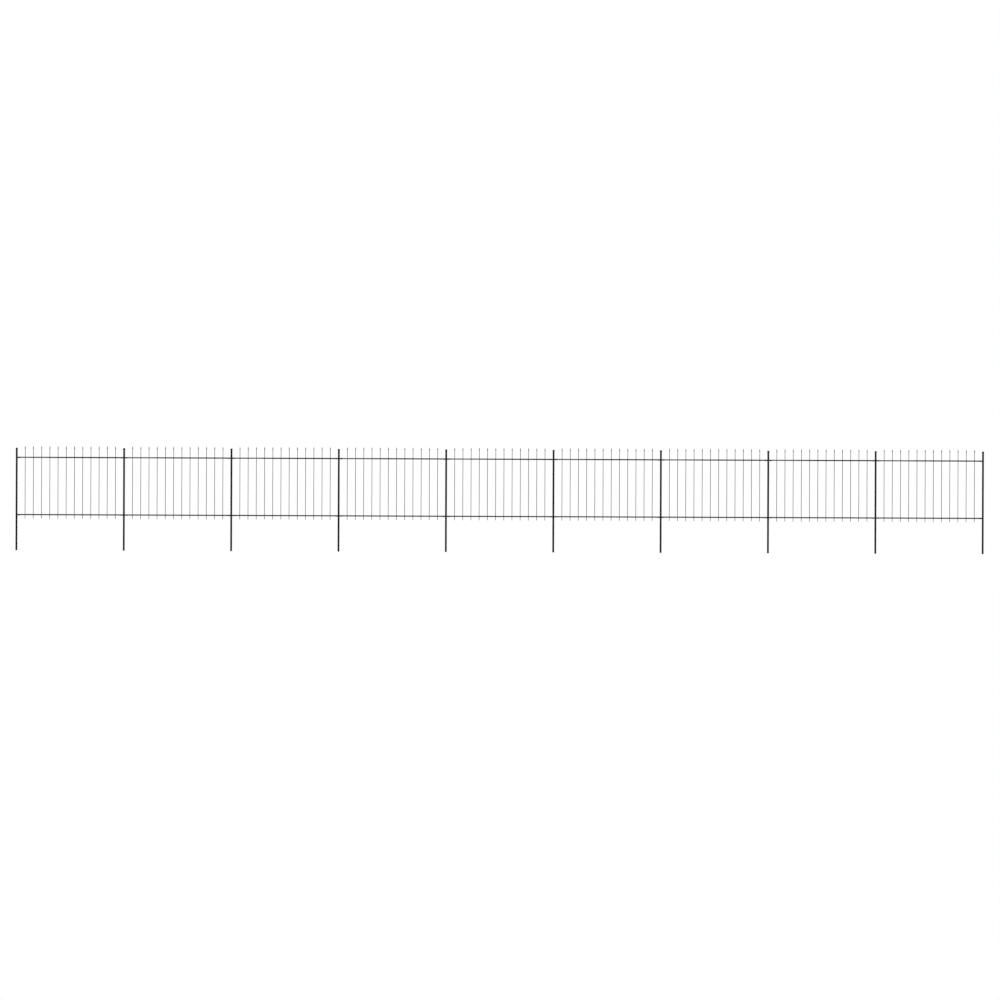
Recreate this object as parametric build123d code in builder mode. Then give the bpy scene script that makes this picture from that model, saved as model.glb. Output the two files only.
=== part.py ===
from build123d import *
import os
from math import pi, sqrt

# Garden fence of welded steel panels with spear topped pickets, hung between square posts.
# Sizes are in millimetres. X runs along the fence, Y through it and Z up.
# The origin is the middle of the foot of the first post.

# Fence line
bay_count = 9
post_pitch = 1700

# Posts, cut from square tube
post_side = 30
post_wall = 1.5
post_inner_corner = 1.5
post_above_rail = 146

# Slip-over post caps
cap_wall = 1.8
cap_clearance = 0.2
cap_skirt = 20
cap_crown = 6
cap_bevel = 4

# Rails, square with rounded edges
rail_side = 20
rail_corner = 2
lower_rail_height = 566
rail_spacing = 907

# Rail brackets, pressed from plate
bracket_wall = 2
bracket_reach = 45
bracket_clearance = 0.3
bracket_nose = 4
bolt_head_room = 10

# Pickets, from round bar
pickets_per_bay = 12
picket_diameter = 9
end_picket_inset = 135
picket_below_rail = 62
picket_above_rail = 182

# Spear heads, forged flat on the ends of the pickets
spear_length = 51
spear_shoulder = 13
spear_width = 15
spear_thickness = 4.5
spear_tip_width = 1.6
spear_tip_thickness = 1.2
spear_steps = 2
spear_belly = 1.3

# Heights and places that follow
lower_rail = lower_rail_height
upper_rail = lower_rail_height + rail_spacing
rail_heights = [lower_rail, upper_rail]
post_length = upper_rail + post_above_rail
post_corner = post_inner_corner + post_wall
post_face = post_side / 2
bracket_back = post_face + bracket_wall
rail_start = bracket_back + bolt_head_room
picket_foot = lower_rail - picket_below_rail
picket_tip = upper_rail + picket_above_rail
picket_pitch = (post_pitch - 2 * end_picket_inset) / (pickets_per_bay - 1)

# A rounded edge is one flat that touches its arc at the middle: this share of the radius is its leg
edge_flat = 2 - sqrt(2)


def repeat_along_fence(piece, name, count):
    """Writes copies of a piece one post pitch apart, each as a part of its own."""
    for number in range(count):
        with BuildPart() as copy:
            with Locations((number * post_pitch, 0, 0)):
                add(piece)
        copy.part.label = f"{name}_{number + 1}"
        export_step(copy.part, f"parts/{name}_{number + 1}.step")


# Post: a length of square tube, open at the foot
post_bore = post_side - 2 * post_wall

with BuildPart() as post:
    with BuildSketch() as post_outline:
        Rectangle(post_side, post_side)
        chamfer(post_outline.vertices(), post_corner * edge_flat)
    extrude(amount=post_length)
    with BuildSketch() as post_hollow:
        Rectangle(post_bore, post_bore)
        chamfer(post_hollow.vertices(), post_inner_corner * edge_flat)
    extrude(amount=post_length, mode=Mode.SUBTRACT)


# Post cap: a skirt round the tube and a bevelled crown seated on its end, with an even wall
cap_bore = post_side + 2 * cap_clearance
cap_side = cap_bore + 2 * cap_wall
cap_bore_corner = post_corner + cap_clearance

with BuildPart() as post_cap:
    with BuildSketch(Plane.XY.offset(post_length - cap_skirt)) as cap_outline:
        Rectangle(cap_side, cap_side)
        chamfer(cap_outline.vertices(), (cap_bore_corner + cap_wall) * edge_flat)
    extrude(amount=cap_skirt + cap_crown)
    chamfer(post_cap.faces().sort_by(Axis.Z)[-1].edges(), cap_bevel)
    with BuildSketch(Plane.XY.offset(post_length - cap_skirt)) as cap_hollow:
        Rectangle(cap_bore, cap_bore)
        chamfer(cap_hollow.vertices(), cap_bore_corner * edge_flat)
    extrude(amount=cap_skirt, mode=Mode.SUBTRACT)


# Picket bar: six-sided, flat front and back, with the area of the round bar
bar_thickness = picket_diameter * sqrt(pi / (2 * sqrt(3)))
bar_width = bar_thickness * 2 / sqrt(3)
spear_base = picket_tip - spear_length
spear_widest = spear_base + spear_shoulder

with BuildPart() as picket:
    with BuildSketch(Plane.XY.offset(picket_foot)):
        RegularPolygon(bar_width / 2, 6)
    extrude(amount=spear_base - picket_foot)


# Spear head: where its front outline and its side outline, each swept through, meet
blade_outline = []
for step in range(spear_steps + 1):
    share = step / spear_steps
    half_width = (spear_width - (spear_width - spear_tip_width) * share**spear_belly) / 2
    blade_outline.append((half_width, spear_widest + share * (picket_tip - spear_widest)))
spear_front = [(bar_width / 2, spear_base)] + blade_outline
spear_side = [
    (bar_thickness / 2, spear_base),
    (spear_thickness / 2, spear_widest),
    (spear_tip_thickness / 2, picket_tip),
]

with BuildPart() as spear_head:
    with BuildSketch(Plane.XZ):
        with BuildLine():
            Polyline((0, spear_base), *spear_front, (0, picket_tip), close=True)
        make_face()
        mirror(about=Plane.YZ)
    extrude(amount=bar_thickness, both=True)
    with BuildSketch(Plane.YZ):
        with BuildLine():
            Polyline((0, spear_base), *spear_side, (0, picket_tip), close=True)
        make_face()
        mirror(about=Plane.YZ)
    extrude(amount=spear_width, both=True, mode=Mode.INTERSECT)


# Welded panel of one bay: two rails with the pickets let through them
with BuildPart() as panel:
    with BuildSketch(Plane.YZ.offset(rail_start)) as rail_outlines:
        with Locations(*[(0, height) for height in rail_heights]):
            Rectangle(rail_side, rail_side)
        chamfer(rail_outlines.vertices(), rail_corner * edge_flat)
    extrude(amount=post_pitch - 2 * rail_start)
    with Locations((post_pitch / 2, 0, 0)):
        with GridLocations(picket_pitch, 0, pickets_per_bay, 1):
            add(picket.part)
            add(spear_head.part)


# Rail brackets of one bay: a cradle open at the top takes each end of each rail
cradle_width = rail_side + 2 * bracket_clearance
cradle_depth = rail_side + bracket_clearance
cradle_floors = [height - rail_side / 2 - bracket_clearance for height in rail_heights]

with BuildPart() as rail_brackets:
    with BuildSketch(Plane.XZ) as cradle_side_views:
        with Locations(*[(post_face, floor - bracket_wall) for floor in cradle_floors]):
            Rectangle(bracket_reach, cradle_depth + bracket_wall, align=Align.MIN)
        chamfer(cradle_side_views.vertices().group_by(Axis.X)[-1], bracket_nose)
    extrude(amount=cradle_width / 2 + bracket_wall, both=True)
    with BuildSketch(Plane.YZ.offset(bracket_back)):
        with Locations(*[(0, floor) for floor in cradle_floors]):
            Rectangle(cradle_width, cradle_depth, align=(Align.CENTER, Align.MIN))
    extrude(amount=bracket_reach, mode=Mode.SUBTRACT)
    mirror(about=Plane.YZ.offset(post_pitch / 2))


os.makedirs("parts", exist_ok=True)
repeat_along_fence(post.part, "post", bay_count + 1)
repeat_along_fence(post_cap.part, "post_cap", bay_count + 1)
repeat_along_fence(panel.part, "panel", bay_count)
repeat_along_fence(rail_brackets.part, "rail_brackets", bay_count)
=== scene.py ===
"""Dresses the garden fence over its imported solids.

Lengths are in metres. X runs along the fence, Y through it and Z up, and the front faces -Y.
Each piece is a surface worked out as whole arrays and stands where its solid stands.
"""

import math

import bmesh
import bpy
import numpy as np
from bpy.props import FloatProperty, FloatVectorProperty, IntProperty, PointerProperty
from mathutils import Matrix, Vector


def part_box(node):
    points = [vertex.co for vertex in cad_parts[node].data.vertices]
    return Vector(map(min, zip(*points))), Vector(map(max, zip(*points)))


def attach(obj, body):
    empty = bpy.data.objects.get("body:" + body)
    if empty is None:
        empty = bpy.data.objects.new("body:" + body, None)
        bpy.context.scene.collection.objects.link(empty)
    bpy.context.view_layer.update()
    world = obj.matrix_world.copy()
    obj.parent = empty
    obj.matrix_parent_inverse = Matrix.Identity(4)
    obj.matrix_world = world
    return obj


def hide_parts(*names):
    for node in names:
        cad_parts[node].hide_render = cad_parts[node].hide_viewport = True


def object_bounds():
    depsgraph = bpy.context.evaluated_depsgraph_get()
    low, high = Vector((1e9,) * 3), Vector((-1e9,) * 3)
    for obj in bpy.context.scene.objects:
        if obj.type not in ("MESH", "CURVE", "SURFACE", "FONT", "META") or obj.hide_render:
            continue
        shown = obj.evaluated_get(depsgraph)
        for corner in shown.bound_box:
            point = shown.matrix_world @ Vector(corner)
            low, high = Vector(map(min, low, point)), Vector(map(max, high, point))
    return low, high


bl_info = {
    "name": "Garden fence",
    "version": (1, 0, 0),
    "blender": (4, 5, 0),
    "location": "3D View > Sidebar > Fence",
    "description": "Builds a spear topped garden fence from its posts to its bolts",
    "category": "Object",
}

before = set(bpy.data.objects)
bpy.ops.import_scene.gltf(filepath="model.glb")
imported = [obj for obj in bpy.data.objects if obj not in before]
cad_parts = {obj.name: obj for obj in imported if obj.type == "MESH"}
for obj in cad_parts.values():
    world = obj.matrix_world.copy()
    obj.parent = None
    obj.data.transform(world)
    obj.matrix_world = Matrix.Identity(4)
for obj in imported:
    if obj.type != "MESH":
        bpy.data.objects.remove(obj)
solid_low, solid_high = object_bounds()

bay_numbers = range(1, 1 + sum(name.startswith("panel_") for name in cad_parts))
post_numbers = range(1, 2 + len(bay_numbers))


# Settings


def length_setting(name, description, default, largest=1.0):
    """A length that a user may change, shown in the scene's unit."""
    return FloatProperty(
        name=name,
        description=description,
        default=default,
        min=0.0,
        max=largest,
        precision=5,
        unit="LENGTH",
    )


def colour_setting(name, description, default):
    """A colour that a user may change, in linear values."""
    return FloatVectorProperty(
        name=name, description=description, default=default, min=0.0, max=1.0, size=3, subtype="COLOR"
    )


def share_setting(name, description, default, largest=1.0):
    """A plain number that a user may change."""
    return FloatProperty(
        name=name, description=description, default=default, min=0.0, max=largest, precision=3
    )


class FencePostSettings(bpy.types.PropertyGroup):
    """Sizes of the posts and their caps."""

    wall: length_setting("Post wall", "Thickness of the square tube's wall", 0.0015)
    corner: length_setting("Post corner", "Radius of the tube's outer edges", 0.003)
    cap_wall: length_setting("Cap wall", "Thickness of the cap's skirt", 0.0018)
    cap_corner: length_setting("Cap corner", "Radius of the cap's upright edges", 0.005)
    cap_bevel: length_setting("Cap bevel", "Width and height of the slope round the crown", 0.004)
    cap_edge: length_setting("Cap edge", "Reach of the softened edges of the moulding", 0.0009)


class FencePanelSettings(bpy.types.PropertyGroup):
    """Sizes of the welded panels."""

    rail_height: length_setting("Lower rail", "Height of the lower rail's middle", 0.566, 2.0)
    rail_spacing: length_setting("Rail spacing", "Between the middles of the two rails", 0.907, 2.0)
    rail_wall: length_setting("Rail wall", "Thickness of the rail tube's wall", 0.0012)
    rail_corner: length_setting("Rail corner", "Radius of the rail tube's outer edges", 0.002)
    picket_count: IntProperty(name="Pickets", description="Pickets in a bay", default=12, min=2, max=60)
    picket_inset: length_setting("End picket", "From the post's middle to the nearest picket", 0.135)
    picket_diameter: length_setting("Picket diameter", "Diameter of the round bar", 0.009)
    head_length: length_setting("Head length", "From the end of the round bar to the tip", 0.051)
    head_shoulder: length_setting("Head shoulder", "From the end of the round bar to its widest", 0.013)
    head_width: length_setting("Head width", "Width of the forged head at its widest", 0.015)
    head_thickness: length_setting("Head thickness", "Thickness of the head at its widest", 0.0045)
    tip_width: length_setting("Tip width", "Width of the blunted tip", 0.0016)
    tip_thickness: length_setting("Tip thickness", "Thickness of the blunted tip", 0.0012)
    bead_size: length_setting("Weld bead", "Reach of a weld bead from the bar at its largest", 0.0028)


class FenceFittingSettings(bpy.types.PropertyGroup):
    """Sizes of the brackets, bolts and screws."""

    plate: length_setting("Plate", "Thickness of the brackets' plate", 0.002)
    reach: length_setting("Reach", "From the post's face to the nose of a bracket", 0.045)
    floor_bend: length_setting("Floor bend", "Outer radius where the floor turns into the cheeks", 0.004)
    back_bend: length_setting("Back bend", "Outer radius where the cheeks turn into the back", 0.003)
    nose_radius: length_setting("Nose radius", "Radius of the rounded corners of the nose", 0.0055)
    sheared_edge: length_setting("Sheared edge", "Width of the eased edges of the plate", 0.0003)
    bolt_place: length_setting("Bolt place", "From the post's face to a bolt", 0.034)
    bolt_head: length_setting("Bolt head", "Diameter of the cup head", 0.0135)
    bolt_rise: length_setting("Bolt rise", "Height of the cup head", 0.0032)
    nut_width: length_setting("Nut width", "Across the flats of the nut and of the screw's head", 0.008)
    nut_height: length_setting("Nut height", "Height of the nut", 0.004)


class FenceFinishSettings(bpy.types.PropertyGroup):
    """Colours and grain of the finishes."""

    coat_colour: colour_setting("Coat colour", "Black powder coat", (0.004, 0.004, 0.0042))
    coat_pale: colour_setting("Coat bloom", "The coat where it is a little dusty", (0.010, 0.0098, 0.0095))
    coat_rubbed: colour_setting("Rubbed coat", "The coat where it is rubbed thin", (0.03, 0.03, 0.031))
    # Colour of the highlight that is painted on the rails
    painted_highlight_colour: colour_setting("Painted highlight", "The coat where the rails have chalked", (0.12, 0.12, 0.121))
    cap_colour: colour_setting("Cap colour", "Black moulded plastic", (0.0075, 0.0075, 0.0079))
    bolt_colour: colour_setting("Bolt colour", "Blackened steel", (0.018, 0.018, 0.019))
    bolt_pale: colour_setting("Bolt bloom", "Blackened steel in its paler spots", (0.034, 0.033, 0.032))
    coat_grain: length_setting("Coat grain", "Size of the ripples of the powder coat", 0.0012)
    cap_grain: length_setting("Cap grain", "Size of the grain of the moulding", 0.00035)
    sheen: share_setting("Sheen", "How much of its head-on reflection the coat keeps", 0.16)
    bar_sheen: share_setting("Bar sheen", "The same on the round bars and the welds", 0.5)


class FenceStageSettings(bpy.types.PropertyGroup):
    """Floor, light and camera."""

    floor_colour: colour_setting("Floor colour", "Pale matt floor", (0.86, 0.86, 0.86))
    ambient: share_setting("Ambient light", "Light from all round", 0.5, 5.0)
    key: share_setting("Key light", "Soft light from the front left", 1.5, 20.0)
    fill: share_setting("Fill light", "Soft light from the front right", 0.6, 20.0)
    back: share_setting("Back light", "Soft light from behind", 0.8, 20.0)
    picture_width: length_setting("Picture width", "Width that the camera takes in", 15.834, 100.0)
    picture_centre: length_setting("Picture centre", "Place along the fence in mid-picture", 7.6545, 100.0)
    camera_height: length_setting("Camera height", "Height in mid-picture", 0.827, 10.0)
    camera_distance: length_setting("Camera distance", "From the fence to the camera", 100.0, 400.0)
    camera_roll: FloatProperty(
        name="Camera roll",
        description="How far the camera leans, which lowers the right end in the picture",
        default=math.radians(0.23),
        subtype="ANGLE",
    )


# Arrays of points have the axes copy, row, column and coordinate. Rows go along a piece, columns
# round it. A skin is its vertices, its four-sided faces and its triangles.

AXES = {
    "up": np.eye(3),
    "right": np.array([[0, 1, 0], [0, 0, 1], [1, 0, 0]], float),
    "left": np.array([[0, -1, 0], [0, 0, 1], [-1, 0, 0]], float),
    "rear": np.array([[0, 0, 1], [1, 0, 0], [0, 1, 0]], float),
    "front": np.array([[0, 0, 1], [-1, 0, 0], [0, -1, 0]], float),
}


def lay(points, axis):
    """Turns points that stand along Z so that they point along the named axis, unmirrored."""
    return points @ AXES[axis]


def turned_round(points, angle):
    """Points that stand along Z, turned round Z by an angle."""
    cosine, sine = math.cos(angle), math.sin(angle)
    x, y, z = points[..., 0], points[..., 1], points[..., 2]
    return np.stack([x * cosine - y * sine, x * sine + y * cosine, z], axis=-1)


def full_turn(columns):
    """Evenly spaced angles round a full turn."""
    return np.arange(columns) * 2 * np.pi / columns


def ease(share):
    """A smooth step from 0 to 1: three times the square less twice the cube."""
    share = np.clip(share, 0.0, 1.0)
    return share * share * (3 - 2 * share)


def soft_corners(path, reach, steps=3):
    """Rounds the inner points of a flat path.

    Each corner becomes the parabola (1-t)^2 A + 2 t (1-t) P + t^2 B, where P is the corner and A
    and B lie on its two sides, the reach away from it or less where a side is short.
    """
    path = np.asarray(path, float)
    before, corner, after = path[:-2], path[1:-1], path[2:]
    reach, most_of_side = np.broadcast_to(reach, len(corner)), 0.45
    back, ahead = before - corner, after - corner
    back_share = np.minimum(reach / np.linalg.norm(back, axis=1), most_of_side)[:, None]
    ahead_share = np.minimum(reach / np.linalg.norm(ahead, axis=1), most_of_side)[:, None]
    start, end = corner + back * back_share, corner + ahead * ahead_share
    t = np.linspace(0, 1, steps + 1)[None, :, None]
    curve = (1 - t) ** 2 * start[:, None] + 2 * t * (1 - t) * corner[:, None] + t**2 * end[:, None]
    return np.concatenate([path[:1], curve.reshape(-1, path.shape[1]), path[-1:]])


def rounded_squares(side, corner, steps=5):
    """Outlines of squares with rounded corners, counterclockwise, one row for each side given.

    A point is its corner's centre, half the side less the radius out on both axes, plus the radius
    times the cosine and sine of an angle that turns through the corner's quarter.
    """
    side, corner = np.broadcast_arrays(np.asarray(side, float), np.asarray(corner, float))
    corner = np.minimum(corner, side / 2)
    signs = np.array([[1, 1], [-1, 1], [-1, -1], [1, -1]], float)
    turn = np.arange(4)[:, None] * np.pi / 2 + np.linspace(0, np.pi / 2, steps + 1)
    arc = np.stack([np.cos(turn), np.sin(turn)], axis=-1)
    centre = (side / 2 - corner)[:, None, None, None] * signs[:, None, :]
    return (centre + corner[:, None, None, None] * arc).reshape(len(side), -1, 2)


def at_heights(outlines, heights):
    """Rings of three coordinates from flat outlines, each at its own height."""
    heights = np.broadcast_to(np.asarray(heights, float)[:, None, None], outlines.shape[:2] + (1,))
    return np.concatenate([outlines, heights], axis=-1)


def skin(points, wrap=False, poles=None):
    """Faces over points of the axes copy, row, column and coordinate, closed round the columns.

    With wrap the last row joins the first, as round a tube's wall. Otherwise each end row is closed
    by triangles to a pole, its own mean unless poles gives one for the first and one for the last.
    """
    copies, rows, columns, _ = points.shape
    row = np.arange(rows if wrap else rows - 1)[:, None]
    column = np.arange(columns)[None, :]
    above, beside = (row + 1) % rows, (column + 1) % columns
    row, above = row * columns, above * columns
    quads = np.stack([row + column, row + beside, above + beside, above + column], axis=-1).reshape(-1, 4)
    if wrap:
        each, triangles = rows * columns, np.empty((0, 3), int)
        vertices = points.reshape(copies, each, 3)
    else:
        if poles is None:
            poles = np.stack([points[:, 0].mean(axis=1), points[:, -1].mean(axis=1)], axis=1)
        each = rows * columns + 2
        vertices = np.concatenate([points.reshape(copies, -1, 3), poles], axis=1)
        around = np.arange(columns)
        following = (around + 1) % columns
        last = (rows - 1) * columns
        low = np.stack([np.full(columns, each - 2), following, around], axis=-1)
        high = np.stack([np.full(columns, each - 1), last + around, last + following], axis=-1)
        triangles = np.concatenate([low, high])
    shift = (np.arange(copies) * each)[:, None, None]
    quads, triangles = quads[None] + shift, triangles[None] + shift
    return vertices.reshape(-1, 3), quads.reshape(-1, 4), triangles.reshape(-1, 3)


def joined(skins):
    """Several skins as one, their faces counted on from each other."""
    counts = np.cumsum([0] + [len(vertices) for vertices, _, _ in skins])
    return (
        np.concatenate([vertices for vertices, _, _ in skins]),
        np.concatenate([quads + start for (_, quads, _), start in zip(skins, counts)]),
        np.concatenate([triangles + start for (_, _, triangles), start in zip(skins, counts)]),
    )


def make_piece(name, node, shape, finish, sharp=32.0, wear=None, merge=False):
    """Puts a skin into a mesh in its finish, smooth up to the sharp angle, and stands it for its node."""
    vertices, quads, triangles = shape
    mesh = bpy.data.meshes.new(name)
    mesh.from_pydata(vertices.tolist(), [], quads.tolist() + triangles.tolist())
    if wear is not None:
        mesh.attributes.new("wear", "FLOAT", "POINT").data.foreach_set("value", wear.astype(np.float32))
    if merge:
        work = bmesh.new()
        work.from_mesh(mesh)
        bmesh.ops.remove_doubles(work, verts=work.verts, dist=1e-6)
        bmesh.ops.recalc_face_normals(work, faces=work.faces)
        work.to_mesh(mesh)
        work.free()
    mesh.polygons.foreach_set("use_smooth", np.ones(len(mesh.polygons), bool))
    mesh.set_sharp_from_angle(angle=math.radians(sharp))
    mesh.validate()
    mesh.update()
    mesh.materials.append(finish_named(finish))
    piece = bpy.data.objects.new(name, mesh)
    bpy.context.scene.collection.objects.link(piece)
    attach(piece, "root")
    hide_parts(node)
    return piece


def square_tube(side, corner, wall, start, end, axis, centre):
    """A length of square tube, open at both ends.

    The path round its wall goes up the outside, over the end, down the inside and back, with the
    cut edges eased. Each of its points carries the rounded square that lies that far inside the
    outer one.
    """
    edge, least_corner = 0.0003, 0.0004
    inset = np.array([0, 0, edge, wall - edge, wall, wall, wall - edge, edge])
    along = [start + edge, end - edge, end, end, end - edge, start + edge, start, start]
    outlines = rounded_squares(side - 2 * inset, np.maximum(corner - inset, least_corner))
    points = lay(at_heights(outlines, along), axis) + np.asarray(centre, float)
    return skin(points[None], wrap=True)


def turned_part(path, columns=32, outline=None):
    """A part turned round an axis: each point of the path, radius and height, becomes a ring.

    With outline, a radius for every column, the ring's radius is the smaller of the two, which cuts
    a six-sided prism out of the turned shape.
    """
    path = np.asarray(path, float)
    turn = full_turn(columns)
    radius = np.broadcast_to(path[:, :1], (len(path), columns))
    if outline is not None:
        radius = np.minimum(radius, outline)
    return at_heights(np.stack([radius * np.cos(turn), radius * np.sin(turn)], axis=-1), path[:, 1])


def six_sided(across, columns):
    """Radius of a hexagon at each column's angle: half its width over the cosine to the nearest flat."""
    to_flat = np.mod(full_turn(columns) + np.pi / 6, np.pi / 3) - np.pi / 6
    return across / 2 / np.cos(to_flat)


def picket_points(settings, foot, tip, places):
    """Rings of the pickets of a bay, from the foot to just below the tip, their poles and their wear.

    A ring has the points x = a sign(cos t) |cos t|^(2/p) and y = b sign(sin t) |sin t|^(2/p). On the
    bar a and b are its radius and p is 2, a circle. Up the head a swells to half the head's width at
    the shoulder and then shrinks with a full belly to the tip, b thins down all the way, and p falls
    to 1.2, which gives the forged blade its ridge and its two soft edges. The wear is 1 at the tip,
    high on the blade's edges and round the foot, and low on the plain bar.
    """
    radius = settings.picket_diameter / 2
    length, shoulder = settings.head_length, settings.head_shoulder
    wide, thick = settings.head_width / 2, settings.head_thickness / 2
    tip_wide, tip_thick = settings.tip_width / 2, settings.tip_thickness / 2
    chamfer, below_tip, columns = 0.0009, 0.0006, 20
    round_power, ridge_power, width_belly, depth_belly = 2.0, 1.2, 1.3, 1.15
    foot_wear, bar_wear, tip_wear = 0.8, 0.1, 1.0

    to_shoulder = np.linspace(0, shoulder, 6)[:-1]
    to_tip = shoulder + (length - below_tip - shoulder) * np.linspace(0, 1, 9) ** 0.9
    climb = np.concatenate([to_shoulder, to_tip])
    swell = ease(climb / shoulder)
    taper = np.clip((climb - shoulder) / (length - shoulder), 0, 1)
    half_width = radius + (wide - radius) * swell - (wide - tip_wide) * taper**width_belly
    half_depth = radius + (thick - radius) * swell - (thick - tip_thick) * taper**depth_belly
    power = round_power - (round_power - ridge_power) * swell

    # Two rings go before the head's: the chamfered end of the foot and the start of the round bar
    half_width = np.concatenate([[radius - chamfer, radius], half_width])
    half_depth = np.concatenate([[radius - chamfer, radius], half_depth])
    power = np.concatenate([[round_power, round_power], power])[:, None]
    height = np.concatenate([[foot, foot + chamfer], tip - length + climb])
    cosine, sine = np.cos(full_turn(columns)), np.sin(full_turn(columns))
    x = half_width[:, None] * np.sign(cosine) * np.abs(cosine) ** (2 / power)
    y = half_depth[:, None] * np.sign(sine) * np.abs(sine) ** (2 / power)
    rings = at_heights(np.stack([x, y], axis=-1), height)

    shift = np.stack([places, np.zeros_like(places), np.zeros_like(places)], axis=-1)
    points = rings[None] + shift[:, None, None, :]
    poles = np.array([[0, 0, foot], [0, 0, tip]]) + shift[:, None, :]
    edge_wear = np.concatenate([[0, 0], swell])[:, None] * np.abs(cosine) ** 6
    ring_wear = np.concatenate([[foot_wear, bar_wear], taper**4])[:, None]
    wear = np.concatenate([np.maximum(edge_wear, ring_wear).ravel(), [foot_wear, tip_wear]])
    return points, poles, np.tile(wear, len(places))


def bead_points(places, faces, radius, size, dice):
    """Weld beads round the pickets where they leave the faces of the rails.

    A bead's reach is the size times 0.66 less 0.3 times the cosine of twice the angle, so it is
    fullest at front and back, plus two small waves of a phase that differs from bead to bead. Its
    section has four points, each sunk by a fixed depth into the metal and carried out of it by a
    share of the reach: the root under the rail's face, the toe on the rail, the belly and the toe
    on the bar. Each face is its height and 1, or -1 under a rail, where the bead is turned over
    about X.
    """
    sunk_in, share_out = np.array([0.00035, 0, 0, 0.0001]), np.array([0, 1, 0.56, 0])
    sunk_down, share_up = np.array([0.0006, 0.0002, 0, 0]), np.array([0, 0, 0.5, 0.98])
    turn = full_turn(12)
    place, face = (grid.ravel() for grid in np.meshgrid(places, np.arange(len(faces)), indexing="ij"))
    height, side = faces[face][:, 0, None, None], faces[face][:, 1, None, None]
    phase = dice.uniform(0, 2 * np.pi, (2, len(place), 1))
    scale = dice.uniform(0.85, 1.08, (len(place), 1))
    waves = 0.09 * np.sin(3 * turn + phase[0]) + 0.05 * np.sin(5 * turn + phase[1])
    reach = ((0.66 - 0.3 * np.cos(2 * turn) + waves) * scale * size)[:, None, :]
    distance = radius + share_out[:, None] * reach - sunk_in[:, None]
    rise = share_up[:, None] * reach - sunk_down[:, None]
    x = distance * np.cos(turn) + place[:, None, None]
    y = distance * np.sin(turn) * side
    return np.stack([x, y, height + rise * side], axis=-1)


def tray_sheet(settings, half_width, bottom, top, offset):
    """One side of a bracket's plate, offset inwards, as a grid that starts at the nose.

    Across the columns runs a U: down one cheek, round the bend, over the floor and up the other
    cheek. Along the rows the U runs from the nose to the back, turns through a quarter circle, which
    draws it inwards, and on the back it shrinks to a point in the middle of the top edge. The nose
    is cut to a circle at its two corners.
    """
    bend, nose, least_bend = settings.floor_bend, settings.nose_radius, 0.0003
    quarter = np.linspace(0, np.pi / 2, 5)
    drop = np.linspace(0, 1, 6) ** 1.6 * nose

    def outline(inset):
        """The U that lies the inset inside the outer one, from top to bottom and back up."""
        inset = np.asarray(inset, float)[:, None]
        radius = np.maximum(bend - inset, least_bend)
        cheek_z = np.broadcast_to(top - drop, (len(inset), len(drop)))
        cheek_y = np.broadcast_to(inset - half_width, cheek_z.shape)
        arc_y = inset + radius - half_width - radius * np.cos(quarter)
        arc_z = bottom + inset + radius - radius * np.sin(quarter)
        y, z = np.concatenate([cheek_y, arc_y], axis=1), np.concatenate([cheek_z, arc_z], axis=1)
        return np.concatenate([y, -y[:, ::-1]], axis=1), np.concatenate([z, z[:, ::-1]], axis=1)

    # Both sides of the plate are cut to the same circles, worked out for the middle of its wall
    middle_z = outline([settings.plate / 2])[1][0]
    near_edge = np.minimum(middle_z - bottom, top - middle_z)
    cut = nose - np.sqrt(np.maximum(nose**2 - np.maximum(nose - near_edge, 0) ** 2, 0))

    # Three rows run straight, four turn and three shrink on the back
    straight = np.array([0.0, 0.5, 1.0])[:, None]
    bent = quarter[1:]
    shrink = np.array([0.6, 0.25, 0.0])[:, None]
    tight = settings.back_bend - offset
    straight_x = (settings.reach - cut) * (1 - straight) + settings.back_bend * straight
    bent_x = np.broadcast_to((offset + tight * (1 - np.sin(bent)))[:, None], (len(bent), len(cut)))
    back_x = np.full((len(shrink), len(cut)), offset)
    y, z = outline(np.concatenate([np.full(len(straight), offset), offset + tight * (1 - np.cos(bent))]))
    y = np.concatenate([y, y[-1] * shrink])
    z = np.concatenate([z, top + (z[-1] - top) * shrink])
    return np.stack([np.concatenate([straight_x, bent_x, back_x]), y, z], axis=-1)


def tray_skin(outer, inner):
    """Joins the two sides of a plate, given as copy, row, column and coordinate, along its rims."""
    copies, rows, columns, _ = outer.shape
    count = rows * columns
    row, column = np.arange(rows - 1)[:, None], np.arange(columns - 1)[None, :]
    start = row * columns + column
    sheet = np.stack([start, start + 1, start + columns + 1, start + columns], axis=-1).reshape(-1, 4)
    across = np.arange(columns - 1)
    down = np.arange(rows - 1) * columns
    far = down + columns - 1
    nose = np.stack([across + 1, across, across + count, across + 1 + count], axis=-1)
    left = np.stack([down, down + columns, down + columns + count, down + count], axis=-1)
    right = np.stack([far + columns, far, far + count, far + columns + count], axis=-1)
    quads = np.concatenate([sheet, sheet[:, ::-1] + count, nose, left, right])
    vertices = np.concatenate([outer.reshape(copies, -1, 3), inner.reshape(copies, -1, 3)], axis=1)
    shift = (np.arange(copies) * 2 * count)[:, None, None]
    return vertices.reshape(-1, 3), (quads[None] + shift).reshape(-1, 4), np.empty((0, 3), int)


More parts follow.
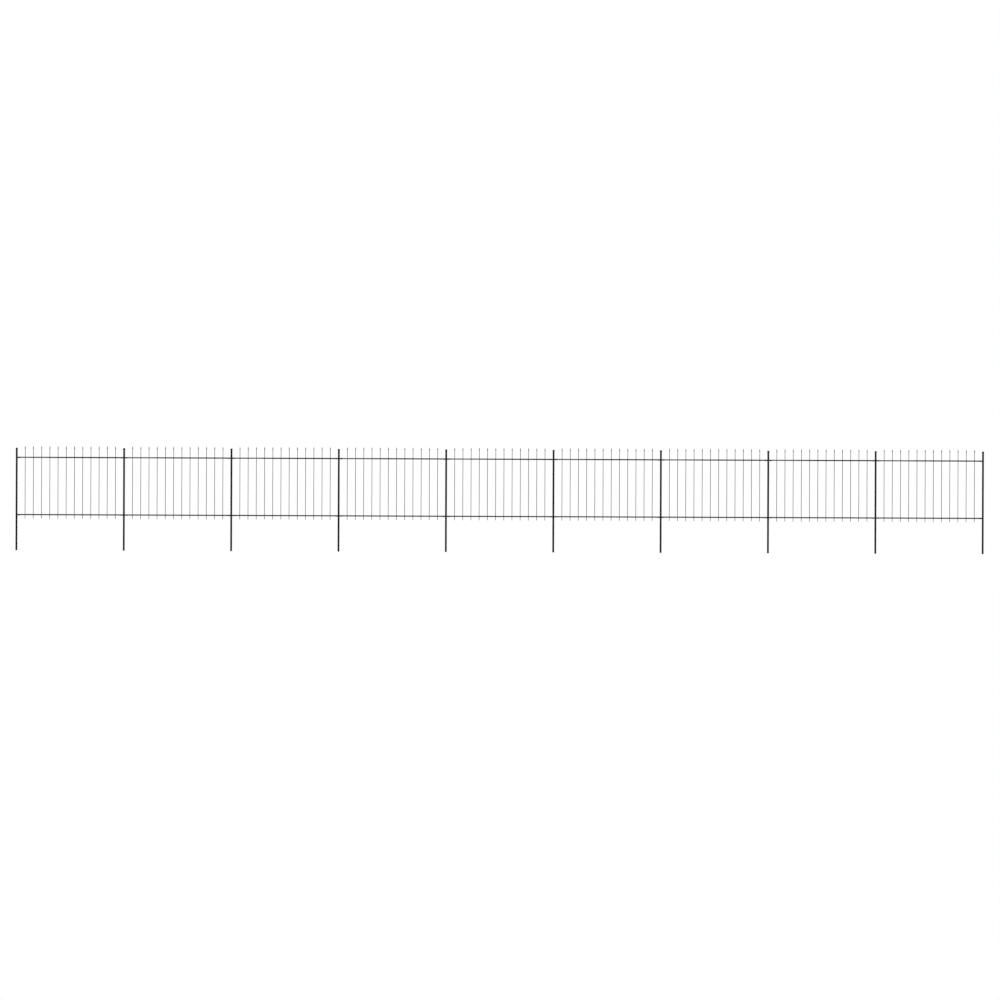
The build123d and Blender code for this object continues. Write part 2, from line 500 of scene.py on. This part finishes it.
def cap_points(settings, half, seat, low, high):
    """Rings of a post cap, from its seat down the inside of the skirt, round its rim and up the crown.

    A point of the path is a distance inside the outer face and a height. It becomes a rounded square
    whose corner radius is the outer one less that distance, or the least radius of the mould.
    """
    bevel, wall, edge, least_corner = settings.cap_bevel, settings.cap_wall, settings.cap_edge, 0.0012
    path = soft_corners(
        [
            (half * 0.8, seat),
            (wall, seat),
            (wall, low),
            (0, low),
            (0, high - bevel),
            (bevel, high - 0.0002),
            (half * 0.5, high - 0.00005),
            (half * 0.85, high),
        ],
        [0.0008, 0.0005, 0.0005, edge, edge, 0.001],
    )
    inset = path[:, 0]
    outlines = rounded_squares(2 * (half - inset), np.maximum(settings.cap_corner - inset, least_corner))
    return at_heights(outlines, path[:, 1])


# Fasteners stand along Z on the face that they clamp, and their first ring is sunk into it by this.

SUNK = 0.0003


def cup_head(settings):
    """Rings of a bolt's cup head: a low upright band under a dome that is a part of a sphere.

    The sphere through the band's rim and the top has the radius (r^2 + h^2) / (2 h), where r is the
    head's radius and h the dome's height.
    """
    radius, rise, band = settings.bolt_head / 2, settings.bolt_rise, 0.0005
    sphere = (radius**2 + (rise - band) ** 2) / (2 * (rise - band))
    sweep = np.arcsin(radius / sphere) * np.array([1.0, 0.8, 0.58, 0.36, 0.16])
    dome = np.stack([sphere * np.sin(sweep), rise - sphere + sphere * np.cos(sweep)], axis=-1)
    foot = [(radius * 0.6, -SUNK), (radius - 0.0002, 0), (radius, 0.0002)]
    return turned_part(np.concatenate([foot, dome]))


def nut_on_thread(settings):
    """Rings of a six-sided nut, chamfered at both ends, with the end of the thread standing out of it."""
    across, height = settings.nut_width, settings.nut_height
    corner, chamfer, thread = across / 2 / math.cos(math.pi / 6), 0.0006, 0.0024
    path = [
        (across * 0.3, -SUNK),
        (across * 0.49, 0),
        (corner, chamfer),
        (corner, height - chamfer),
        (across * 0.485, height),
        (thread + 0.0006, height),
        (thread + 0.0002, height - 0.0004),
        (thread, height - 0.0004),
        (thread, height + 0.0003),
        (thread - 0.0005, height + 0.0006),
    ]
    return turned_part(path, 24, six_sided(across, 24))


def flanged_screw(settings):
    """Rings of a screw: a round flange, then a six-sided head that is hollowed a little on top."""
    across, flange, foot, top = settings.nut_width, 0.0053, 0.0011, 0.0046
    corner, chamfer = across / 2 / math.cos(math.pi / 6), 0.0006
    washer = [(across * 0.3, -SUNK), (flange - 0.0001, 0), (flange, 0.0003), (flange - 0.0003, foot)]
    head = [
        (corner, foot),
        (corner, top - chamfer),
        (across * 0.485, top),
        (across * 0.43, top),
        (across * 0.35, top - 0.0003),
    ]
    return np.concatenate([turned_part(washer, 24), turned_part(head, 24, six_sided(across, 24))])


def fastener(rings, turn, axis, place):
    """A fastener turned round itself by an angle, laid along an axis and moved to its place."""
    return skin((lay(turned_round(rings, turn), axis) + np.asarray(place, float))[None])


# Places


def middle_of(node):
    """Place along the fence of a node's middle."""
    low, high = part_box(node)
    return (low.x + high.x) / 2


def picket_places(bay, panel):
    """Places along the fence of the middles of a bay's pickets, evenly from one inset to the other."""
    start = middle_of(f"post_{bay}") + panel.picket_inset
    end = middle_of(f"post_{bay + 1}") - panel.picket_inset
    return np.linspace(start, end, panel.picket_count)


def rail_heights(panel):
    """Heights of the middles of the two rails."""
    return np.array([panel.rail_height, panel.rail_height + panel.rail_spacing])


def bracket_places(bay, panel):
    """Post face, direction into the bay and rail height of the four brackets of a bay."""
    low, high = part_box(f"rail_brackets_{bay}")
    ends = ((low.x, 1.0), (high.x, -1.0))
    return [(face, direction, height) for face, direction in ends for height in rail_heights(panel)]


# Finishes


def opaque(colour):
    """A colour with full alpha."""
    return (*colour, 1.0)


class NodeChain:
    """Adds nodes to a material or a world and joins them, each from the values of those before it."""

    def __init__(self, owner):
        self.owner = owner
        owner.use_nodes = True
        self.tree = owner.node_tree
        self.tree.nodes.clear()

    def add(self, kind, inputs=None, **settings):
        """A node with its own settings and inputs, each input a value or another node's output."""
        node = self.tree.nodes.new(kind)
        for key, value in settings.items():
            setattr(node, key, value)
        for key, value in (inputs or {}).items():
            if isinstance(value, bpy.types.NodeSocket):
                self.tree.links.new(value, node.inputs[key])
            else:
                node.inputs[key].default_value = value
        return node

    def combined(self, kind, first, second=0.0):
        """Two values added, multiplied or compared, or the first changed alone, as kind says."""
        return self.add("ShaderNodeMath", {0: first, 1: second}, operation=kind).outputs[0]

    def spread(self, value, source, target, curve="LINEAR"):
        """Maps a value from the source's range to the target's, and stops at its ends."""
        names = ("Value", "From Min", "From Max", "To Min", "To Max")
        inputs = dict(zip(names, (value, *source, *target)))
        return self.add("ShaderNodeMapRange", inputs, interpolation_type=curve).outputs["Result"]

    def mixed(self, share, first, second):
        """A colour between two colours."""
        return self.add("ShaderNodeMix", {0: share, 6: first, 7: second}, data_type="RGBA").outputs[2]


class FinishChain(NodeChain):
    """The chain of a new material, whose patterns read the place on the object."""

    def __init__(self, name):
        super().__init__(bpy.data.materials.new(name))
        self.place = self.add("ShaderNodeTexCoord").outputs["Object"]

    def noise(self, size, detail=2.0, roughness=0.5, squeeze=None):
        """Soft noise whose lumps are about the given size, or longer along an axis squeezed below 1."""
        place = self.place
        if squeeze is not None:
            place = self.add("ShaderNodeMapping", {"Vector": place, "Scale": squeeze}).outputs["Vector"]
        inputs = {"Vector": place, "Scale": 1.0 / size, "Detail": detail, "Roughness": roughness}
        return self.add("ShaderNodeTexNoise", inputs).outputs["Fac"]

    def finish(self, colour, roughness, bumps, sheen=1.0, metallic=0.0):
        """Ends the chain in a shader. Each bump is its height and its depth in metres.

        The sheen scales what the surface reflects head on and leaves its glancing reflection whole.
        """
        normal = None
        for height, depth in bumps:
            inputs = {"Height": height, "Distance": depth, "Strength": 1.0}
            if normal is not None:
                inputs["Normal"] = normal
            normal = self.add("ShaderNodeBump", inputs).outputs["Normal"]
        inputs = {
            "Base Color": colour,
            "Roughness": roughness,
            "Normal": normal,
            "Metallic": metallic,
            "Specular Tint": opaque((sheen, sheen, sheen)),
        }
        shader = self.add("ShaderNodeBsdfPrincipled", inputs)
        self.add("ShaderNodeOutputMaterial", {"Surface": shader.outputs["BSDF"]})
        return self.owner


def painted_highlight(chain, colour, finish, pitch, between):
    """Paints a highlight on the coat of the rails: the upper one in the first third of each bay, the lower
    one a little.

    The pitch is the posts', and a height between the rails tells them apart. The painted highlight lies in
    long cloudy streaks with fine speckles, so its edge is ragged.
    """
    # Where the painted highlight fades out along a bay, and how much of it the lower rail gets
    fade, lower_highlight_share = (0.2, 0.43), 0.22
    place = chain.add("ShaderNodeSeparateXYZ", {"Vector": chain.place}).outputs
    along = chain.combined("FRACT", chain.combined("DIVIDE", place["X"], pitch))
    upper = chain.combined("GREATER_THAN", place["Z"], between)
    # third is the painted highlight on the upper rail
    third = chain.combined("MULTIPLY", upper, chain.spread(along, fade, (1.0, 0.0)))
    share = chain.combined("MAXIMUM", third, chain.spread(upper, (0.0, 1.0), (lower_highlight_share, 0.0)))
    streaks = chain.noise(0.02, detail=5.0, roughness=0.62, squeeze=(0.16, 1.0, 1.0))
    streaks = chain.spread(streaks, (0.36, 0.62), (0.45, 1.1))
    speckles = chain.spread(chain.noise(0.0016, roughness=0.6), (0.35, 0.65), (0.85, 1.15))
    share = chain.combined("MULTIPLY", share, chain.combined("MULTIPLY", streaks, speckles))
    return chain.mixed(share, colour, opaque(finish.painted_highlight_colour))


def powder_coat(name, finish, cloud, peel_depth=0.00011, rubbed=False, rails=None):
    """Black powder coat: fine ripples like orange peel, cloudy gloss and a thin bloom on top faces.

    A rubbed coat is paler and smoother where the wear attribute says so, and has the sheen of the
    round bars. For the rails' coat, rails is the posts' pitch and a height between the rails, which place
    the highlight painted on the rails.
    """
    chain = FinishChain(name)
    clouds = chain.noise(cloud, detail=3.0, roughness=0.55)
    specks = chain.noise(0.004, detail=3.0, roughness=0.6)
    normal = chain.add("ShaderNodeNewGeometry").outputs["Normal"]
    upward = chain.add("ShaderNodeSeparateXYZ", {"Vector": normal}).outputs["Z"]
    upward = chain.spread(upward, (0.55, 0.98), (0.0, 0.75))
    settled = chain.combined("MULTIPLY", upward, chain.spread(specks, (0.3, 0.7), (0.35, 1.0)))
    bloom = chain.combined("MAXIMUM", settled, chain.spread(clouds, (0.38, 0.72), (0.0, 0.3)))
    colour = chain.mixed(bloom, opaque(finish.coat_colour), opaque(finish.coat_pale))
    # The rails' colour gets a painted highlight
    if rails:
        colour = painted_highlight(chain, colour, finish, *rails)
    gloss = chain.spread(chain.noise(0.03), (0.3, 0.7), (0.36, 0.47))
    roughness = chain.combined("ADD", gloss, chain.combined("MULTIPLY", bloom, 0.16))
    if rubbed:
        wear = chain.add("ShaderNodeAttribute", attribute_name="wear").outputs["Fac"]
        patches = chain.spread(chain.noise(0.0025, detail=3.0), (0.35, 0.65), (0.3, 1.0))
        wear = chain.combined("MULTIPLY", wear, patches)
        colour = chain.mixed(wear, colour, opaque(finish.coat_rubbed))
        roughness = chain.combined("SUBTRACT", roughness, chain.combined("MULTIPLY", wear, 0.12))
    peel = chain.noise(finish.coat_grain, detail=1.0, roughness=0.4)
    grain, grain_depth = chain.noise(finish.coat_grain / 5, roughness=0.6), 0.000012
    sheen = finish.bar_sheen if rubbed else finish.sheen
    return chain.finish(colour, roughness, [(peel, peel_depth), (grain, grain_depth)], sheen)


def weld_coat(name, finish):
    """The same coat over weld metal, which is thicker, glossier and lumpy."""
    chain = FinishChain(name)
    lumps, lump_depth = chain.noise(0.0016), 0.00035
    grain, grain_depth = chain.noise(0.0005), 0.00004
    bloom = chain.spread(lumps, (0.35, 0.7), (0.0, 0.6))
    colour = chain.mixed(bloom, opaque(finish.coat_colour), opaque(finish.coat_pale))
    roughness = chain.spread(chain.noise(0.003), (0.3, 0.7), (0.3, 0.42))
    return chain.finish(colour, roughness, [(lumps, lump_depth), (grain, grain_depth)], finish.bar_sheen)


def moulded_plastic(name, finish):
    """Black moulded polyethylene: an even spark-eroded grain, matt, with faint flow clouds."""
    chain = FinishChain(name)
    flow = chain.noise(0.02)
    bloom = chain.spread(flow, (0.35, 0.7), (0.0, 0.5))
    colour = chain.mixed(bloom, opaque(finish.cap_colour), opaque(finish.coat_pale))
    roughness = chain.spread(flow, (0.3, 0.7), (0.56, 0.66))
    warp, warp_depth = chain.noise(0.012), 0.00012
    cells = chain.add("ShaderNodeTexVoronoi", {"Vector": chain.place, "Scale": 1.0 / finish.cap_grain})
    pits, pit_depth = cells.outputs["Distance"], 0.00003
    return chain.finish(colour, roughness, [(warp, warp_depth), (pits, pit_depth)], finish.sheen)


def blackened_steel(name, finish):
    """Blackened bolts and screws: dark metal with fine turning marks and a mottled gloss."""
    chain = FinishChain(name)
    mottle = chain.noise(0.0015, detail=3.0, roughness=0.6)
    colour = chain.mixed(mottle, opaque(finish.bolt_colour), opaque(finish.bolt_pale))
    roughness = chain.spread(mottle, (0.3, 0.7), (0.3, 0.46))
    marks, mark_depth = chain.noise(0.0004, detail=3.0), 0.00002
    return chain.finish(colour, roughness, [(marks, mark_depth)], metallic=1.0)


def finish_named(name):
    """The finish of that name, made the first time it is asked for."""
    if name in bpy.data.materials:
        return bpy.data.materials[name]
    finish, panel = bpy.context.scene.fence_finishes, bpy.context.scene.fence_panels
    # The posts' pitch and a height between the rails place the highlight painted on the rails
    rails = (middle_of("post_2") - middle_of("post_1"), rail_heights(panel).mean())
    makers = {
        "post_coat": lambda: powder_coat(name, finish, cloud=0.35),
        # The rails' coat carries a painted highlight
        "rail_coat": lambda: powder_coat(name, finish, cloud=0.5, rails=rails),
        "picket_coat": lambda: powder_coat(name, finish, cloud=0.12, peel_depth=0.000088, rubbed=True),
        "bracket_coat": lambda: powder_coat(name, finish, cloud=0.03),
        "coated_weld": lambda: weld_coat(name, finish),
        "moulded_plastic": lambda: moulded_plastic(name, finish),
        "blackened_steel": lambda: blackened_steel(name, finish),
    }
    return makers[name]()


# Pieces


class FENCE_OT_posts(bpy.types.Operator):
    """Cuts the ten posts from rounded square tube, open at the foot"""

    bl_idname = "fence.posts"
    bl_label = "Posts"

    def execute(self, context):
        settings = context.scene.fence_posts
        for number in post_numbers:
            node = f"post_{number}"
            low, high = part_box(node)
            centre = (middle_of(node), 0, 0)
            tube = square_tube(high.x - low.x, settings.corner, settings.wall, low.z, high.z, "up", centre)
            make_piece(f"post_tube_{number}", node, tube, "post_coat")
        return {"FINISHED"}


class FENCE_OT_caps(bpy.types.Operator):
    """Moulds the caps that slip over the posts"""

    bl_idname = "fence.caps"
    bl_label = "Post caps"

    def execute(self, context):
        settings = context.scene.fence_posts
        for number in post_numbers:
            node = f"post_cap_{number}"
            low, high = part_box(node)
            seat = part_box(f"post_{number}")[1].z
            points = cap_points(settings, (high.x - low.x) / 2, seat, low.z, high.z)
            cap = skin((points + (middle_of(node), 0, 0))[None])
            make_piece(f"cap_moulding_{number}", node, cap, "moulded_plastic", sharp=50.0)
        return {"FINISHED"}


class FENCE_OT_rails(bpy.types.Operator):
    """Cuts the two rails of every bay from rounded square tube"""

    bl_idname = "fence.rails"
    bl_label = "Rails"

    def execute(self, context):
        settings = context.scene.fence_panels
        for bay in bay_numbers:
            node = f"panel_{bay}"
            low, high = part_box(node)
            sizes = (high.y - low.y, settings.rail_corner, settings.rail_wall, low.x, high.x)
            tubes = [square_tube(*sizes, "right", (0, 0, height)) for height in rail_heights(settings)]
            make_piece(f"rails_{bay}", node, joined(tubes), "rail_coat")
        return {"FINISHED"}


class FENCE_OT_pickets(bpy.types.Operator):
    """Forges the pickets of every bay, each a round bar with a spear head"""

    bl_idname = "fence.pickets"
    bl_label = "Pickets"

    def execute(self, context):
        settings = context.scene.fence_panels
        for bay in bay_numbers:
            node = f"panel_{bay}"
            low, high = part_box(node)
            points, poles, wear = picket_points(settings, low.z, high.z, picket_places(bay, settings))
            bars = skin(points, poles=poles)
            make_piece(f"pickets_{bay}", node, bars, "picket_coat", sharp=48.0, wear=wear)
        return {"FINISHED"}


class FENCE_OT_welds(bpy.types.Operator):
    """Runs a weld bead round each picket above and below each rail"""

    bl_idname = "fence.welds"
    bl_label = "Weld beads"

    def execute(self, context):
        settings = context.scene.fence_panels
        radius, size = settings.picket_diameter / 2, settings.bead_size
        dice = np.random.default_rng(11)
        for bay in bay_numbers:
            node = f"panel_{bay}"
            low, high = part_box(node)
            half = (high.y - low.y) / 2
            faces = [(height + side * half, side) for height in rail_heights(settings) for side in (1, -1)]
            points = bead_points(picket_places(bay, settings), np.array(faces), radius, size, dice)
            beads = skin(points, wrap=True)
            make_piece(f"weld_beads_{bay}", node, beads, "coated_weld", sharp=80.0)
        return {"FINISHED"}


class FENCE_OT_brackets(bpy.types.Operator):
    """Presses the brackets that carry the ends of the rails"""

    bl_idname = "fence.brackets"
    bl_label = "Rail brackets"

    def execute(self, context):
        settings, panel = context.scene.fence_fittings, context.scene.fence_panels
        for bay in bay_numbers:
            node = f"rail_brackets_{bay}"
            low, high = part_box(node)
            rail_low, rail_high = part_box(f"panel_{bay}")
            drop, rise = panel.rail_height - low.z, (rail_high.y - rail_low.y) / 2
            outer, inner = [], []
            for face, direction, height in bracket_places(bay, panel):
                for sheets, offset in ((outer, 0.0), (inner, settings.plate)):
                    sheet = tray_sheet(settings, high.y, height - drop, height + rise, offset)
                    sheets.append(sheet * (direction, 1, 1) + (face, 0, 0))
            trays = tray_skin(np.array(outer), np.array(inner))
            piece = make_piece(
                f"brackets_{bay}", node, trays, "bracket_coat", sharp=40.0, merge=True
            )
            edge = piece.modifiers.new("sheared_edges", "BEVEL")
            edge.width = settings.sheared_edge
            edge.segments = 2
            edge.limit_method = "ANGLE"
            edge.angle_limit = math.radians(50)
        return {"FINISHED"}


class FENCE_OT_bolts(bpy.types.Operator):
    """Turns the cup bolts and nuts of the brackets and the screws in their backs"""

    bl_idname = "fence.bolts"
    bl_label = "Bolts and screws"

    def execute(self, context):
        settings, panel = context.scene.fence_fittings, context.scene.fence_panels
        cup, nut, screw = cup_head(settings), nut_on_thread(settings), flanged_screw(settings)
        dice = np.random.default_rng(23)
        for bay in bay_numbers:
            node = f"rail_brackets_{bay}"
            low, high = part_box(node)
            fasteners = []
            for face, direction, height in bracket_places(bay, panel):
                nut_turn, screw_turn = dice.uniform(0, np.pi / 3, 2)
                bolt, back = face + direction * settings.bolt_place, face + direction * settings.plate
                into_bay = "right" if direction > 0 else "left"
                fasteners.append(fastener(cup, 0.0, "front", (bolt, low.y, height)))
                fasteners.append(fastener(nut, nut_turn, "rear", (bolt, high.y, height)))
                fasteners.append(fastener(screw, screw_turn, into_bay, (back, 0, height)))
            bolts = joined(fasteners)
            make_piece(f"fasteners_{bay}", node, bolts, "blackened_steel", sharp=30.0)
        return {"FINISHED"}


# Stage


def lay_floor(settings, middle):
    """A large matt floor at the posts' feet that fades to white far from the fence."""
    half, fade, shaded = 150.0, (8.5, 19.5), (0.8, 0.8, 0.8)
    corners = np.array([(-1, -1, 0), (1, -1, 0), (1, 1, 0), (-1, 1, 0)]) * half + (middle.x, 0, 0)
    mesh = bpy.data.meshes.new("floor")
    mesh.from_pydata(corners.tolist(), [], [(0, 1, 2, 3)])
    chain = FinishChain("pale_floor")
    centred = chain.add("ShaderNodeVectorMath", {0: chain.place, 1: (middle.x, 0, 0)}, operation="SUBTRACT")
    away = chain.add("ShaderNodeVectorMath", {0: centred.outputs[0]}, operation="LENGTH").outputs["Value"]
    path = chain.add("ShaderNodeLightPath").outputs
    seen = chain.combined("MAXIMUM", path["Is Camera Ray"], path["Is Glossy Ray"])
    share = chain.combined("MULTIPLY", chain.spread(away, fade, (0.0, 1.0), "SMOOTHSTEP"), seen)
    mottle = chain.spread(chain.noise(0.4, detail=3.0), (0.3, 0.7), (0.985, 1.0))
    colour = chain.mixed(mottle, opaque(shaded), opaque(settings.floor_colour))
    matt = chain.add("ShaderNodeBsdfDiffuse", {"Color": colour})
    white = chain.add("ShaderNodeEmission", {"Color": (1, 1, 1, 1), "Strength": 1.0})
    mix = chain.add("ShaderNodeMixShader", {0: share, 1: matt.outputs[0], 2: white.outputs[0]})
    chain.add("ShaderNodeOutputMaterial", {"Surface": mix.outputs[0]})
    mesh.materials.append(chain.owner)
    floor = bpy.data.objects.new("floor", mesh)
    bpy.context.scene.collection.objects.link(floor)


def light_world(scene, settings):
    """Even light from all round, and plain white where the camera or a reflection sees past the fence."""
    chain = NodeChain(bpy.data.worlds.new("studio"))
    path = chain.add("ShaderNodeLightPath").outputs
    seen = chain.combined("MAXIMUM", path["Is Camera Ray"], path["Is Glossy Ray"])
    seen = chain.combined("MAXIMUM", seen, path["Is Transmission Ray"])
    around = chain.add("ShaderNodeBackground", {"Color": (1, 1, 1, 1), "Strength": settings.ambient})
    white = chain.add("ShaderNodeBackground", {"Color": (1, 1, 1, 1), "Strength": 1.0})
    mix = chain.add("ShaderNodeMixShader", {0: seen, 1: around.outputs[0], 2: white.outputs[0]})
    chain.add("ShaderNodeOutputWorld", {"Surface": mix.outputs[0]})
    scene.world = chain.owner


def hang_lamps(scene, settings, middle):
    """Hangs the three soft lamps, each with its width in degrees and the direction of its light."""
    hang_height = 6.0
    for name, strength, width, direction in (
        ("key_light", settings.key, 20, (0.5, 0.7, -0.62)),
        ("fill_light", settings.fill, 30, (-0.75, 0.65, -0.4)),
        ("back_light", settings.back, 24, (-0.35, -0.75, -0.6)),
    ):
        lamp = bpy.data.lights.new(name, "SUN")
        lamp.energy = strength
        lamp.angle = math.radians(width)
        lamp_object = bpy.data.objects.new(name, lamp)
        scene.collection.objects.link(lamp_object)
        axis = np.array(direction) / np.linalg.norm(direction)
        side = np.cross(axis, (0, 0, 1.0))
        side /= np.linalg.norm(side)
        turn = Matrix(np.stack([side, np.cross(side, axis), -axis], axis=1).tolist()).to_4x4()
        turn.translation = (middle.x, -hang_height * direction[1], hang_height)
        lamp_object.matrix_world = turn


def set_camera(scene, settings):
    """Sets the camera square to the front of the fence, leaning by its roll."""
    camera = bpy.data.cameras.new("camera")
    camera.type = "ORTHO"
    camera.ortho_scale = settings.picture_width
    camera.clip_start, camera.clip_end = 0.1, settings.camera_distance * 4
    camera_object = bpy.data.objects.new("camera", camera)
    scene.collection.objects.link(camera_object)
    lean = settings.camera_roll
    right, up = (math.cos(lean), 0, math.sin(lean)), (-math.sin(lean), 0, math.cos(lean))
    turn = Matrix((right, up, (0, -1, 0))).transposed().to_4x4()
    turn.translation = (settings.picture_centre, -settings.camera_distance, settings.camera_height)
    camera_object.matrix_world = turn
    scene.camera = camera_object


class FENCE_OT_stage(bpy.types.Operator):
    """Lays the floor and sets the lights and the camera"""

    bl_idname = "fence.stage"
    bl_label = "Stage"

    def execute(self, context):
        scene, settings = context.scene, context.scene.fence_stage
        middle = (solid_low + solid_high) / 2
        lay_floor(settings, middle)
        light_world(scene, settings)
        hang_lamps(scene, settings, middle)
        set_camera(scene, settings)
        scene.view_settings.view_transform = "Standard"
        return {"FINISHED"}


SETTINGS = {
    "fence_posts": FencePostSettings,
    "fence_panels": FencePanelSettings,
    "fence_fittings": FenceFittingSettings,
    "fence_finishes": FenceFinishSettings,
    "fence_stage": FenceStageSettings,
}
STEPS = (
    FENCE_OT_posts,
    FENCE_OT_caps,
    FENCE_OT_rails,
    FENCE_OT_pickets,
    FENCE_OT_welds,
    FENCE_OT_brackets,
    FENCE_OT_bolts,
    FENCE_OT_stage,
)


class FENCE_PT_build(bpy.types.Panel):
    """Lists the settings and the steps of the fence"""

    bl_idname = "FENCE_PT_build"
    bl_label = "Garden fence"
    bl_space_type = "VIEW_3D"
    bl_region_type = "UI"
    bl_category = "Fence"

    def draw(self, context):
        for name, group in SETTINGS.items():
            box = self.layout.box()
            for key in group.__annotations__:
                box.prop(getattr(context.scene, name), key)
        for step in STEPS:
            self.layout.operator(step.bl_idname)


def register():
    """Adds the settings, the steps and the panel."""
    for group in SETTINGS.values():
        bpy.utils.register_class(group)
    for step in STEPS:
        bpy.utils.register_class(step)
    bpy.utils.register_class(FENCE_PT_build)
    for name, group in SETTINGS.items():
        setattr(bpy.types.Scene, name, PointerProperty(type=group))


def unregister():
    """Takes the panel, the steps and the settings away again."""
    for name in SETTINGS:
        delattr(bpy.types.Scene, name)
    bpy.utils.unregister_class(FENCE_PT_build)
    for step in reversed(STEPS):
        bpy.utils.unregister_class(step)
    for group in reversed(SETTINGS.values()):
        bpy.utils.unregister_class(group)


def main():
    """Builds the fence step by step."""
    register()
    bpy.ops.fence.posts()
    bpy.ops.fence.caps()
    bpy.ops.fence.rails()
    bpy.ops.fence.pickets()
    bpy.ops.fence.welds()
    bpy.ops.fence.brackets()
    bpy.ops.fence.bolts()
    bpy.ops.fence.stage()


if __name__ == "__main__":
    main()
